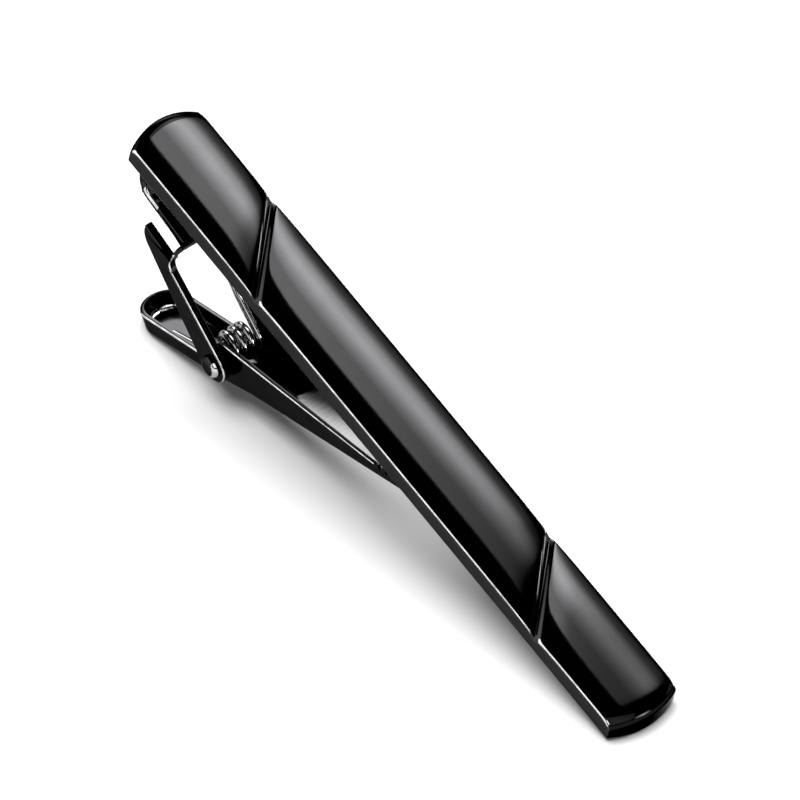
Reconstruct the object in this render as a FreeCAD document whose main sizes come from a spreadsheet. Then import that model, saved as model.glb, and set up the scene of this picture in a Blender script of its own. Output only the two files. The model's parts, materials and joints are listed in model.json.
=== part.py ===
"""Sprung tie clip: grooved front bar, folded hinge bracket, toothed jaw lever, pin and torsion spring.

Every piece is drawn in the clip's own frame: X along the bar towards its free end, Y across it, Z out of
its face, with the flat back of the bar on Z = 0. The lever and the pin are drawn about the pin's axis, the
lever with its floor level. One placement then lays the whole clip down the way it lies on a table, on the
end of its lever's tail and the free end of its bar. Millimetres and degrees.
"""
import FreeCAD
import Part
import Sketcher
import math
import os

from FreeCAD import Placement, Rotation, Vector

# Driving dimensions, in the spreadsheet under these names
DIMENSIONS = {
    "bar_length": 58.0,
    "bar_width": 6.1,
    "bar_wall": 1.76,
    "bar_crown": 0.56,
    "bar_end_bulge": 0.85,
    "bar_end_round": 0.45,
    "bar_edge_round": 0.12,
    "groove_spacing": 32.8,
    "groove_turn": 45.0,
    "groove_width": 1.0,
    "groove_depth": 0.42,
    "groove_sweep": 40.0,
    "pin_x": -15.92,
    "pin_z": -11.44,
    "pin_dia": 0.8,
    "pin_head_dia": 1.8,
    "pin_head_height": 0.45,
    "pin_head_round": 0.32,
    "pin_clearance": 0.05,
    "solder_gap": 0.1,
    "solder_width": 3.4,
    "solder_left_x": -27.75,
    "solder_bead_turn": 35.0,
    "bracket_sheet": 0.65,
    "bracket_width": 5.6,
    "leg_bend_round": 1.0,
    "strip_width": 3.5,
    "fold_left_x": -27.98,
    "fold_round": 1.6,
    "fold_inner_round": 0.95,
    "tongue_end_x": -21.8,
    "run_left_z": -4.25,
    "run_end_x": -21.9,
    "run_end_z": -4.97,
    "ear_radius": 1.38,
    "knee_x": -22.25,
    "knee_z": -6.65,
    "knee_round": 0.9,
    "heel_x": -25.3,
    "heel_z": -6.4,
    "heel_round": 1.4,
    "toe_x": -25.35,
    "toe_z": -5.1,
    "toe_round": 0.12,
    "slit_x": -22.25,
    "slit_z": -5.68,
    "lever_rise": 29.9,
    "lever_width": 3.8,
    "lever_sheet": 0.34,
    "lever_floor": -1.76,
    "lever_bend_round": 0.3,
    "floor_break_x": 3.0,
    "tail_start_x": -1.5,
    "tail_floor": -2.1,
    "tail_end_x": -11.15,
    "tail_rim_x": -11.5,
    "tail_rim_z": -0.55,
    "tail_round": 1.85,
    "step_x": -1.15,
    "step_z": -0.667,
    "step_round": 0.7,
    "jaw_heel_x": -0.1,
    "jaw_heel_z": 1.747,
    "jaw_end_x": 18.05,
    "jaw_end_z": -0.75,
    "lip_x": 24.6,
    "lip_z": -1.06,
    "tip_x": 25.8,
    "tooth_pitch": 0.85,
    "tooth_depth": 0.4,
    "tooth_lead": 0.7,
    "tooth_slant": 0.6,
    "tooth_count": 7,
    "wire_dia": 0.56,
    "coil_radius": 1.15,
    "coil_length": 2.32,
    "coil_turns": 3,
    "coil_shift_x": -0.44,
    "coil_shift_z": 0.0,
    "tail_arm_length": 7.0,
    "tail_arm_dip": 4.3,
    "bracket_arm_rise": 30.0,
    "bracket_arm_length": 3.6,
    "bracket_arm_end_x": -22.3,
    "arm_bend_radius": 1.0,
    "rest_tilt": 19.33,
}

ALONG_Y = Vector(0, 1, 0)

# How close an edge lies to the place that it is chosen by
NEAR = 0.02
# Clear margin by which a cutting outline passes the solid
MARGIN = 1.0
# Spacing of the points on which the spring's gap is measured
GAP_STEP = 0.08


def make_sheet(doc):
    """Spreadsheet with one aliased plain number per driving dimension."""
    sheet = doc.addObject("Spreadsheet::Sheet", "dims")
    for row, (alias, value) in enumerate(DIMENSIONS.items(), start=1):
        sheet.set(f"A{row}", alias)
        sheet.set(f"B{row}", str(value))
        sheet.setAlias(f"B{row}", alias)
    doc.recompute()
    return sheet


def size(sheet, alias):
    """Value of a driving dimension as a plain number."""
    return float(getattr(sheet, alias))


def make_body(doc, label):
    """Empty body for one piece of the clip."""
    body = doc.addObject("PartDesign::Body", label)
    body.Label = label
    return body


def make_sketch(body, name, plane):
    """Sketch on one of the body's own origin planes."""
    sketch = body.newObject("Sketcher::SketchObject", name)
    support = [f for f in body.Origin.OriginFeatures if f.Role == plane][0]
    sketch.AttachmentSupport = [(support, "")]
    sketch.MapMode = "FlatFace"
    return sketch


def bind_point(sketch, edge, end, across, up):
    """Ties a point of an edge to two expressions, its distances from the sketch's origin."""
    here = sketch.getPoint(edge, end)
    for kind, drawn, expression in (("DistanceX", here.x, across), ("DistanceY", here.y, up)):
        index = sketch.addConstraint(Sketcher.Constraint(kind, -1, 1, edge, end, drawn))
        sketch.setExpression(f"Constraints[{index}]", expression)


def bind_radius(sketch, edge, radius, expression):
    """Ties the radius of a round edge to an expression."""
    index = sketch.addConstraint(Sketcher.Constraint("Radius", edge, radius))
    sketch.setExpression(f"Constraints[{index}]", expression)


def add_outline(sketch, corners):
    """Closed outline of straight runs, each corner a pair of expressions that place it."""
    count = len(corners)
    first = sketch.GeometryCount
    turns = [2 * math.pi * i / count for i in range(count)]
    loose = [Vector(math.cos(turn), math.sin(turn), 0) for turn in turns]
    for i in range(count):
        sketch.addGeometry(Part.LineSegment(loose[i], loose[(i + 1) % count]), False)
    for i in range(count):
        sketch.addConstraint(Sketcher.Constraint("Coincident", first + i, 2, first + (i + 1) % count, 1))
    for i, (across, up) in enumerate(corners):
        bind_point(sketch, first + i, 1, across, up)


def add_circle(sketch, across, up, radius):
    """Circle whose centre and radius are expressions."""
    edge = sketch.addGeometry(Part.Circle(Vector(), Vector(0, 0, 1), 1.0), False)
    bind_point(sketch, edge, 3, across, up)
    bind_radius(sketch, edge, 1.0, radius)


def pad_both_ways(body, name, sketch, width):
    """Pad, half to each side of the sketch's plane."""
    pad = body.newObject("PartDesign::Pad", name)
    pad.Profile = sketch
    pad.SideType = "Symmetric"
    pad.setExpression("Length", width)
    body.Document.recompute()


def cut_both_ways(body, name, sketch, width):
    """Pocket, half to each side of the sketch's plane, that has to remove material."""
    before = body.Shape.Volume
    pocket = body.newObject("PartDesign::Pocket", name)
    pocket.Profile = sketch
    pocket.SideType = "Symmetric"
    pocket.setExpression("Length", width)
    body.Document.recompute()
    require_cut(body, name, before)


def require_cut(body, name, before):
    """Stops where a cut has missed the solid."""
    if body.Shape.Volume >= before:
        raise RuntimeError(f"{name} removes nothing")


def round_edges(body, name, chosen, radius):
    """Fillet of the body's edges for which chosen(edge) is true."""
    base = body.Tip
    names = [f"Edge{i}" for i, edge in enumerate(base.Shape.Edges, start=1) if chosen(edge)]
    if not names:
        raise RuntimeError(f"{name} finds no edge")
    fillet = body.newObject("PartDesign::Fillet", name)
    fillet.Base = (base, names)
    fillet.setExpression("Radius", radius)
    body.Document.recompute()


def runs_across_at(x, z):
    """Test for an edge along Y through the place (x, z)."""

    def chosen(edge):
        ends = [vertex.Point for vertex in edge.Vertexes]
        return len(ends) == 2 and all(math.hypot(p.x - x, p.z - z) < NEAR for p in ends)

    return chosen


def make_front_bar(doc, sheet):
    """Bar with bulging ends, crowned face, flat back and two slanting grooves."""
    body = make_body(doc, "front_bar")
    add_bar_block(body, sheet)
    add_bar_crown(body, sheet)
    corner = size(sheet, "bar_length") / 2 - size(sheet, "bar_end_bulge")
    wall = size(sheet, "bar_wall")

    def end_rim(edge):
        return edge.BoundBox.ZMin > wall - NEAR and edge.BoundBox.XLength < corner

    def long_edge(edge):
        return edge.BoundBox.XLength > corner

    round_edges(body, "bar_end_rims", end_rim, "dims.bar_end_round")
    round_edges(body, "bar_long_edges", long_edge, "dims.bar_edge_round")
    add_groove(body, sheet, "clasp", "-")
    add_groove(body, sheet, "free", "")
    return body


def add_bar_block(body, sheet):
    """Plan of the bar, two straight sides and two bulging ends, raised to full height."""
    half_width = size(sheet, "bar_width") / 2
    bulge = size(sheet, "bar_end_bulge")
    end = size(sheet, "bar_length") / 2
    corner = end - bulge
    near_clasp = Vector(-corner, -half_width, 0)
    near_free = Vector(corner, -half_width, 0)
    far_free = Vector(corner, half_width, 0)
    far_clasp = Vector(-corner, half_width, 0)
    plan = make_sketch(body, "bar_plan", "XY_Plane")
    plan.addGeometry(Part.LineSegment(near_clasp, near_free), False)
    plan.addGeometry(Part.Arc(near_free, Vector(end, 0, 0), far_free), False)
    plan.addGeometry(Part.LineSegment(far_free, far_clasp), False)
    plan.addGeometry(Part.Arc(far_clasp, Vector(-end, 0, 0), near_clasp), False)
    straight = "(dims.bar_length / 2 - dims.bar_end_bulge)"
    bind_point(plan, 0, 1, f"-{straight}", "-dims.bar_width / 2")
    bind_point(plan, 0, 2, straight, "-dims.bar_width / 2")
    bind_point(plan, 2, 1, straight, "dims.bar_width / 2")
    bind_point(plan, 2, 2, f"-{straight}", "dims.bar_width / 2")
    radius = (half_width**2 + bulge**2) / (2 * bulge)
    rule = "((dims.bar_width / 2) ^ 2 + dims.bar_end_bulge ^ 2) / (2 * dims.bar_end_bulge)"
    for arc, line_before, line_after in ((1, 0, 2), (3, 2, 0)):
        plan.addConstraint(Sketcher.Constraint("Coincident", arc, 1, line_before, 2))
        plan.addConstraint(Sketcher.Constraint("Coincident", arc, 2, line_after, 1))
        bind_radius(plan, arc, radius, rule)
    block = body.newObject("PartDesign::Pad", "bar_block")
    block.Profile = plan
    block.setExpression("Length", "dims.bar_wall + dims.bar_crown")
    body.Document.recompute()


def add_bar_crown(body, sheet):
    """Cut that leaves the face of the bar as one wide arc across it."""
    half_width = size(sheet, "bar_width") / 2
    rise = size(sheet, "bar_crown")
    top = size(sheet, "bar_wall") + rise
    radius = (half_width**2 + rise**2) / (2 * rise)
    side = half_width + rise
    low = top - radius + math.sqrt(radius**2 - side**2)
    high = top + rise
    section = make_sketch(body, "bar_crown_section", "YZ_Plane")
    section.addGeometry(Part.Arc(Vector(side, low, 0), Vector(0, top, 0), Vector(-side, low, 0)), False)
    section.addGeometry(Part.LineSegment(Vector(side, low, 0), Vector(side, high, 0)), False)
    section.addGeometry(Part.LineSegment(Vector(side, high, 0), Vector(-side, high, 0)), False)
    section.addGeometry(Part.LineSegment(Vector(-side, high, 0), Vector(-side, low, 0)), False)
    rule = "(((dims.bar_width / 2) ^ 2 + dims.bar_crown ^ 2) / (2 * dims.bar_crown))"
    reach = "(dims.bar_width / 2 + dims.bar_crown)"
    peak = "dims.bar_wall + dims.bar_crown"
    bind_radius(section, 0, radius, rule)
    bind_point(section, 0, 3, "0", f"{peak} - {rule}")
    section.addConstraint(Sketcher.Constraint("Coincident", 0, 1, 1, 1))
    section.addConstraint(Sketcher.Constraint("Coincident", 0, 2, 3, 2))
    bind_point(section, 1, 2, reach, f"{peak} + dims.bar_crown")
    bind_point(section, 2, 2, f"-{reach}", f"{peak} + dims.bar_crown")
    section.addConstraint(Sketcher.Constraint("Coincident", 1, 2, 2, 1))
    section.addConstraint(Sketcher.Constraint("Coincident", 2, 2, 3, 1))
    section.addConstraint(Sketcher.Constraint("Vertical", 1))
    section.addConstraint(Sketcher.Constraint("Vertical", 3))
    cut_both_ways(body, "bar_crown", section, "dims.bar_length * 2")


def add_groove(body, sheet, side, sign):
    """V groove that follows the crown slantwise, turned about an axis below the bar."""
    before = body.Shape.Volume
    reach = "(dims.bar_width / 2 / cos(dims.groove_turn * 1 deg))"
    radius = f"(({reach} ^ 2 + dims.bar_crown ^ 2) / (2 * dims.bar_crown))"
    section = make_sketch(body, f"groove_{side}_section", "XZ_Plane")
    section.AttachmentOffset = Placement(Vector(), Rotation(ALONG_Y, size(sheet, "groove_turn")))
    section.setExpression("AttachmentOffset.Base.x", f"{sign}dims.groove_spacing / 2")
    section.setExpression("AttachmentOffset.Base.y", f"dims.bar_wall + dims.bar_crown - {radius}")
    corners = [
        ("0", f"{radius} - dims.groove_depth"),
        ("dims.groove_width", f"{radius} + dims.groove_depth"),
        ("-dims.groove_width", f"{radius} + dims.groove_depth"),
    ]
    add_outline(section, corners)
    groove = body.newObject("PartDesign::Groove", f"groove_{side}")
    groove.Profile = section
    groove.ReferenceAxis = (section, ["H_Axis"])
    groove.Midplane = True
    groove.setExpression("Angle", "dims.groove_sweep * 1 deg")
    body.Document.recompute()
    require_cut(body, f"groove_{side}", before)


def tangent_turn(corner, sign):
    """Expression for where the straight edge from a leg's corner meets the round ear."""
    over = f"dims.{corner}_x - dims.pin_x"
    up = f"dims.{corner}_z - dims.pin_z"
    return f"(atan2({up}; {over}) {sign} acos(dims.ear_radius / hypot({over}; {up})))"


def on_ear(turn):
    """Expressions for the point of the ear's rim at a turn about the pin."""
    across = f"dims.pin_x + dims.ear_radius * cos({turn})"
    up = f"dims.pin_z + dims.ear_radius * sin({turn})"
    return across, up


def run_under(across):
    """Expression for the height of the lower run's underside, which slopes, at a place along it."""
    slope = "((dims.run_end_z - dims.run_left_z) / (dims.run_end_x - dims.fold_left_x))"
    return f"(dims.run_end_z + {slope} * ({across} - dims.run_end_x))"


def run_over(across):
    """Expression for the height of the lower run's upper side at a place along it."""
    slope = "((dims.run_end_z - dims.run_left_z) / (dims.run_end_x - dims.fold_left_x))"
    return f"({run_under(across)} + dims.bracket_sheet * sqrt(1 + {slope} ^ 2))"


def make_hinge_bracket(doc, sheet):
    """Stamped bracket: tongue under the bar, fold, lower run, and two legs bent down to the pin."""
    body = make_body(doc, "hinge_bracket")
    legs = make_sketch(body, "leg_outline", "XZ_Plane")
    corners = [
        ("dims.run_end_x", run_over("dims.run_end_x")),
        ("dims.knee_x", "dims.knee_z"),
        on_ear(tangent_turn("knee", "-")),
        on_ear(tangent_turn("heel", "+")),
        ("dims.heel_x", "dims.heel_z"),
        ("dims.toe_x", "dims.toe_z"),
        ("dims.slit_x", "dims.slit_z"),
        ("dims.slit_x", run_over("dims.slit_x")),
    ]
    add_outline(legs, corners)
    pad_both_ways(body, "leg_block", legs, "dims.bracket_width")
    ears = make_sketch(body, "ear_outline", "XZ_Plane")
    add_circle(ears, "dims.pin_x", "dims.pin_z", "dims.ear_radius")
    pad_both_ways(body, "ear_block", ears, "dims.bracket_width")
    for corner in ("knee", "heel", "toe"):
        place = runs_across_at(size(sheet, f"{corner}_x"), size(sheet, f"{corner}_z"))
        round_edges(body, f"leg_{corner}", place, f"dims.{corner}_round")
    half = size(sheet, "bracket_width") / 2
    neck = size(sheet, "slit_x") - NEAR

    def bend_edge(offset):
        def chosen(edge):
            beside = all(abs(abs(vertex.Y) - offset) < NEAR for vertex in edge.Vertexes)
            level = edge.BoundBox.XLength > edge.BoundBox.ZLength
            return beside and level and neck < edge.BoundBox.XMin and edge.BoundBox.XMax < neck + MARGIN

        return chosen

    round_edges(body, "leg_bend_outside", bend_edge(half), "dims.leg_bend_round")
    gap = make_sketch(body, "leg_gap", "XZ_Plane")
    left = f"(dims.fold_left_x - {MARGIN})"
    right = "(dims.pin_x + dims.ear_radius * 2)"
    low = "dims.pin_z - dims.ear_radius * 2"
    add_outline(gap, [(left, low), (right, low), (right, run_under(right)), (left, run_under(left))])
    cut_both_ways(body, "between_legs", gap, "dims.bracket_width - 2 * dims.bracket_sheet")
    inside = bend_edge(half - size(sheet, "bracket_sheet"))
    round_edges(body, "leg_bend_inside", inside, "dims.leg_bend_round - dims.bracket_sheet")
    add_strip(body, sheet)
    holes = make_sketch(body, "pin_holes", "XZ_Plane")
    add_circle(holes, "dims.pin_x", "dims.pin_z", "dims.pin_dia / 2")
    cut_both_ways(body, "pin_bore", holes, "dims.bracket_width * 2")
    return body


def add_strip(body, sheet):
    """Tongue, fold and lower run of the bracket, one bent strip seen from the side."""
    top = "-dims.solder_gap"
    under = "(-dims.solder_gap - dims.bracket_sheet)"
    inner_x = "(dims.fold_left_x + dims.bracket_sheet)"
    neck = "((dims.slit_x + dims.run_end_x) / 2)"
    section = make_sketch(body, "strip_section", "XZ_Plane")
    corners = [
        ("dims.tongue_end_x", top),
        ("dims.fold_left_x", top),
        ("dims.fold_left_x", "dims.run_left_z"),
        (neck, run_under(neck)),
        (neck, run_over(neck)),
        (inner_x, run_over(inner_x)),
        (inner_x, under),
        ("dims.tongue_end_x", under),
    ]
    add_outline(section, corners)
    pad_both_ways(body, "strip", section, "dims.strip_width")
    fold_x = size(sheet, "fold_left_x")

    def outer_fold(edge):
        places = [(fold_x, -size(sheet, "solder_gap")), (fold_x, size(sheet, "run_left_z"))]
        return any(runs_across_at(x, z)(edge) for x, z in places)

    def inner_fold(edge):
        middle = edge.CenterOfMass
        inner = abs(middle.x - fold_x - size(sheet, "bracket_sheet")) < NEAR
        return inner and edge.BoundBox.YLength > size(sheet, "strip_width") / 2

    round_edges(body, "fold_outside", outer_fold, "dims.fold_round")
    round_edges(body, "fold_inside", inner_fold, "dims.fold_inner_round")


def make_solder_fillet(doc):
    """Solder between the bar's back and the bracket, with its bead at the fold."""
    body = make_body(doc, "solder_fillet")
    section = make_sketch(body, "solder_section", "XZ_Plane")
    fold_start = "dims.fold_left_x + dims.fold_round"
    bead = "(dims.solder_bead_turn * 1 deg)"
    corners = [
        ("dims.solder_left_x", "0"),
        ("dims.tongue_end_x", "0"),
        ("dims.tongue_end_x", "-dims.solder_gap"),
        (f"{fold_start} - dims.fold_round * tan({bead} / 2)", "-dims.solder_gap"),
        (
            f"{fold_start} - dims.fold_round * sin{bead}",
            f"-dims.solder_gap - dims.fold_round * (1 - cos{bead})",
        ),
    ]
    add_outline(section, corners)
    pad_both_ways(body, "solder_pad", section, "dims.solder_width")
    return body


def make_jaw_lever(doc, sheet):
    """Channel lever about the pin: rimmed thumb tail, tall hinge walls and toothed jaw."""
    body = make_body(doc, "jaw_lever")
    outside = make_sketch(body, "lever_outline", "XZ_Plane")
    corners = [
        ("dims.tail_end_x", "dims.tail_floor"),
        ("dims.tail_start_x", "dims.tail_floor"),
        ("dims.floor_break_x", "dims.lever_floor"),
        ("dims.tip_x", "dims.lever_floor"),
        ("dims.lip_x", "dims.lip_z"),
        ("dims.jaw_end_x", "dims.jaw_end_z"),
        ("dims.jaw_heel_x", "dims.jaw_heel_z"),
        ("dims.step_x", "dims.step_z"),
        ("dims.tail_rim_x", "dims.tail_rim_z"),
    ]
    add_outline(outside, corners)
    pad_both_ways(body, "lever_block", outside, "dims.lever_width")
    for corner in ("jaw_heel", "step"):
        place = runs_across_at(size(sheet, f"{corner}_x"), size(sheet, f"{corner}_z"))
        round_edges(body, f"lever_{corner}", place, "dims.step_round")
    inside = make_sketch(body, "channel_outline", "XZ_Plane")
    lean = "((dims.tail_rim_x - dims.tail_end_x) / (dims.tail_rim_z - dims.tail_floor))"
    wall = f"(dims.tail_end_x + dims.lever_sheet * sqrt(1 + {lean} ^ 2))"
    floor = "dims.lever_floor + dims.lever_sheet"
    over = f"(dims.jaw_heel_z + {MARGIN})"
    beyond = f"dims.tip_x + {MARGIN}"
    corners = [
        (f"{wall} + {lean} * dims.lever_sheet", "dims.tail_floor + dims.lever_sheet"),
        ("dims.tail_start_x", "dims.tail_floor + dims.lever_sheet"),
        ("dims.floor_break_x", floor),
        (beyond, floor),
        (beyond, over),
        (f"{wall} + {lean} * ({over} - dims.tail_floor)", over),
    ]
    add_outline(inside, corners)
    cut_both_ways(body, "channel", inside, "dims.lever_width - 2 * dims.lever_sheet")
    add_teeth(body, sheet)
    hole = make_sketch(body, "pin_hole", "XZ_Plane")
    add_circle(hole, "0", "0", "dims.pin_dia / 2 + dims.pin_clearance")
    cut_both_ways(body, "pin_bore", hole, "dims.lever_width * 2")
    round_tail(body, sheet)
    return body


def add_teeth(body, sheet):
    """V notches that leave teeth along the top of both walls at the jaw's end."""
    slope = "((dims.lip_z - dims.jaw_end_z) / (dims.lip_x - dims.jaw_end_x))"
    for i in range(int(size(sheet, "tooth_count"))):
        along = f"(dims.tooth_pitch * ({i} + dims.tooth_lead))"
        root = f"dims.jaw_end_x + {along}"
        top = f"dims.jaw_end_z + {slope} * {along}"
        notch = make_sketch(body, f"tooth_notch_{i}", "XZ_Plane")
        corners = [
            (root, f"{top} - dims.tooth_depth"),
            (f"{root} + dims.tooth_pitch * dims.tooth_slant", f"{top} + dims.tooth_depth"),
            (f"{root} - dims.tooth_pitch * (1 - dims.tooth_slant)", f"{top} + dims.tooth_depth"),
        ]
        add_outline(notch, corners)
        cut_both_ways(body, f"tooth_{i}", notch, "dims.lever_width * 2")


def round_tail(body, sheet):
    """Round plan of the tail's end and bend radius along the channel's lower edges."""
    behind = size(sheet, "tail_end_x") + MARGIN
    half = size(sheet, "lever_width") / 2

    def end_corner(offset):
        def chosen(edge):
            upright = edge.BoundBox.ZLength > edge.BoundBox.XLength
            beside = abs(abs(edge.CenterOfMass.y) - offset) < NEAR
            return edge.BoundBox.XMax < behind and upright and beside

        return chosen

    def lower_bend(edge):
        low = edge.BoundBox.ZMax < size(sheet, "lever_floor") + NEAR
        return low and edge.BoundBox.XLength > half * 2

    inner_corner = end_corner(half - size(sheet, "lever_sheet"))
    round_edges(body, "tail_inner_round", inner_corner, "dims.tail_round - dims.lever_sheet")
    round_edges(body, "tail_outer_round", end_corner(half), "dims.tail_round")
    round_edges(body, "channel_bend", lower_bend, "dims.lever_bend_round")


def make_hinge_pin(doc, sheet):
    """Rivet pin along Y with a low round head at each end."""
    body = make_body(doc, "hinge_pin")
    section = make_sketch(body, "pin_section", "YZ_Plane")
    inner = "dims.bracket_width / 2"
    outer = "(dims.bracket_width / 2 + dims.pin_head_height)"
    corners = [
        (f"-{outer}", "0"),
        (f"-{outer}", "dims.pin_head_dia / 2"),
        (f"-{inner}", "dims.pin_head_dia / 2"),
        (f"-{inner}", "dims.pin_dia / 2"),
        (inner, "dims.pin_dia / 2"),
        (inner, "dims.pin_head_dia / 2"),
        (outer, "dims.pin_head_dia / 2"),
        (outer, "0"),
    ]
    add_outline(section, corners)
    turned = body.newObject("PartDesign::Revolution", "pin_turned")
    turned.Profile = section
    turned.ReferenceAxis = (section, ["H_Axis"])
    turned.Angle = 360
    doc.recompute()
    end = body.Shape.BoundBox.YMax
    shaft = size(sheet, "pin_dia")

    def head_rim(edge):
        return edge.BoundBox.XLength > shaft + NEAR and abs(abs(edge.CenterOfMass.y) - end) < NEAR

    round_edges(body, "pin_heads", head_rim, "dims.pin_head_round")
    return body


def biarc(start, start_way, end, end_way):
    """Two arcs that leave one point and reach another along the given directions."""
    chord = end - start
    ways = start_way + end_way
    a = ways.dot(ways) - 4
    b = -2 * chord.dot(ways)
    c = chord.dot(chord)
    reach = c / -b if abs(a) < 1e-9 else (-b - math.sqrt(b * b - 4 * a * c)) / (2 * a)
    first = start + start_way * reach
    second = end - end_way * reach
    joint = (first + second) * 0.5
    return [arc_under(start, first, joint), arc_under(joint, second, end)]


def arc_under(start, corner, end):
    """Arc from start to end whose end tangents meet at the corner, or a line where they don't turn."""
    half_turn = (corner - start).getAngle(end - corner) / 2
    if half_turn < 1e-5:
        return Part.LineSegment(start, end).toShape()
    weight = math.cos(half_turn)
    middle = (start + corner * (2 * weight) + end) * (1 / (2 + 2 * weight))
    return Part.Arc(start, middle, end).toShape()


def coil_point(sheet, turn, y):
    """Point on the coil at a turn about its axis, and the way the wire runs there within the turn."""
    centre_x = size(sheet, "pin_x") + size(sheet, "coil_shift_x")
    centre_z = size(sheet, "pin_z") + size(sheet, "coil_shift_z")
    radius = size(sheet, "coil_radius")
    place = Vector(centre_x + radius * math.cos(turn), y, centre_z + radius * math.sin(turn))
    return place, Vector(-math.sin(turn), 0, math.cos(turn))


def spring_path(sheet):
    """Edges of the wire's centre line: tail arm, coil in quarter turns, bent bracket arm."""
    enter = math.radians(size(sheet, "lever_rise") + size(sheet, "tail_arm_dip"))
    leave = math.radians(180 - size(sheet, "bracket_arm_rise"))
    start_turn = enter - math.pi / 2
    end_turn = leave - math.pi / 2 + 2 * math.pi * size(sheet, "coil_turns")
    length = size(sheet, "coil_length")
    radius = size(sheet, "coil_radius")
    quarters = round((end_turn - start_turn) / (math.pi / 2))
    climb = Vector(0, length / (end_turn - start_turn) / radius, 0)
    edges = []
    place, way = coil_point(sheet, start_turn, -length / 2)
    edges.append(Part.LineSegment(place - way * size(sheet, "tail_arm_length"), place).toShape())
    heading = way
    for i in range(1, quarters + 1):
        share = i / quarters
        turn = start_turn + (end_turn - start_turn) * share
        following, way = coil_point(sheet, turn, length * (share - 0.5))
        onward = way if i == quarters else (way + climb).normalize()
        edges += biarc(place, heading, following, onward)
        place = following
        heading = onward
    return edges + bracket_arm(sheet, place, heading)


def bracket_arm(sheet, place, way):
    """Straight run beside the leg, a bend, and a straight end under the bracket's lower run."""
    slope = (size(sheet, "run_end_z") - size(sheet, "run_left_z")) / (
        size(sheet, "run_end_x") - size(sheet, "fold_left_x")
    )
    end_x = size(sheet, "bracket_arm_end_x")
    under = size(sheet, "run_left_z") + slope * (end_x - size(sheet, "fold_left_x"))
    end = Vector(end_x, place.y, under - size(sheet, "wire_dia") / 2)
    corner = place + way * size(sheet, "bracket_arm_length")
    onward = (end - corner).normalize()
    cut = size(sheet, "arm_bend_radius") * math.tan(way.getAngle(onward) / 2)
    bend_start = corner - way * cut
    bend_end = corner + onward * cut
    return [
        Part.LineSegment(place, bend_start).toShape(),
        arc_under(bend_start, corner, bend_end),
        Part.LineSegment(bend_end, end).toShape(),
    ]


def least_gap(edges, wire_dia):
    """Least gap between the wire and itself, from points along its centre line."""
    points = []
    along = 0.0
    for edge in edges:
        count = max(4, int(edge.Length / GAP_STEP))
        for i in range(count):
            share = edge.FirstParameter + (edge.LastParameter - edge.FirstParameter) * i / count
            points.append((along + edge.Length * i / count, edge.valueAt(share)))
        along += edge.Length
    apart = math.pi * wire_dia * 2
    gaps = [
        here.distanceToPoint(there)
        for i, (reached, here) in enumerate(points)
        for further, there in points[i + 1 :]
        if further - reached > apart
    ]
    return min(gaps) - wire_dia


def make_torsion_spring(doc, sheet):
    """One unbroken wound wire; its coil hangs on the pin, its arms press the tail and the bracket apart."""
    edges = spring_path(sheet)
    wire_dia = size(sheet, "wire_dia")
    path = Part.Wire(edges)
    start = edges[0].valueAt(edges[0].FirstParameter)
    way = edges[0].tangentAt(edges[0].FirstParameter)
    ring = Part.Wire(Part.Circle(start, way, wire_dia / 2).toShape())
    solid = path.makePipeShell([ring], True, False)
    section = math.pi * wire_dia**2 / 4
    print("spring volume over section times length:", round(solid.Volume / (section * path.Length), 4))
    print("spring least gap to itself, mm:", round(least_gap(edges, wire_dia), 3))
    spring = doc.addObject("Part::Feature", "torsion_spring")
    spring.Label = "torsion_spring"
    spring.Shape = solid
    return spring


def lay_down(pieces, sheet):
    """Places every piece the way the clip lies: low points on Z = 0, box centred over the origin."""
    pin = Vector(size(sheet, "pin_x"), 0, size(sheet, "pin_z"))
    about_pin = {
        "jaw_lever": Placement(pin, Rotation(ALONG_Y, -size(sheet, "lever_rise"))),
        "hinge_pin": Placement(pin, Rotation()),
    }
    tilt = Placement(Vector(), Rotation(ALONG_Y, size(sheet, "rest_tilt")))
    places = {}
    for piece in pieces:
        places[piece.Label] = tilt * about_pin.get(piece.Label, Placement())
        piece.Placement = places[piece.Label]
    box = Part.makeCompound([piece.Shape for piece in pieces]).optimalBoundingBox(False)
    lift = Placement(Vector(-box.Center.x, -box.Center.y, -box.ZMin), Rotation())
    for piece in pieces:
        piece.Placement = lift * places[piece.Label]
        low = piece.Shape.optimalBoundingBox(False).ZMin
        print(piece.Label, "volume", round(piece.Shape.Volume, 2), "lowest point", round(low, 3))
    print("clip frame's origin in the part's frame:", [round(v, 4) for v in lift.Base])


def check_and_write(doc, pieces):
    """Stops on any failed object or bad shape, then writes one file per piece."""
    for item in doc.Objects:
        if {"Invalid", "Error"} & set(item.State):
            raise RuntimeError(f"{item.Name} failed: {item.State}")
    os.makedirs("parts", exist_ok=True)
    for piece in pieces:
        if piece.Shape.isNull() or not piece.Shape.isValid() or len(piece.Shape.Solids) != 1:
            raise RuntimeError(f"{piece.Label} is not one valid solid")
        piece.Shape.exportStep(f"parts/{piece.Label}.step")


def main():
    doc = FreeCAD.newDocument("tie_clip")
    sheet = make_sheet(doc)
    pieces = [
        make_front_bar(doc, sheet),
        make_solder_fillet(doc),
        make_hinge_bracket(doc, sheet),
        make_jaw_lever(doc, sheet),
        make_hinge_pin(doc, sheet),
        make_torsion_spring(doc, sheet),
    ]
    doc.recompute()
    lay_down(pieces, sheet)
    check_and_write(doc, pieces)


main()
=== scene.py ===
# Tie clip, at rest on its lever's tail and the bar's free end: a crowned black bar with two slanting grooves,
# a folded bracket soldered under one end, and a toothed lever that a wound spring shuts against the bar.
import json
import math

import bmesh
import bpy
from mathutils import Matrix, Vector


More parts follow.
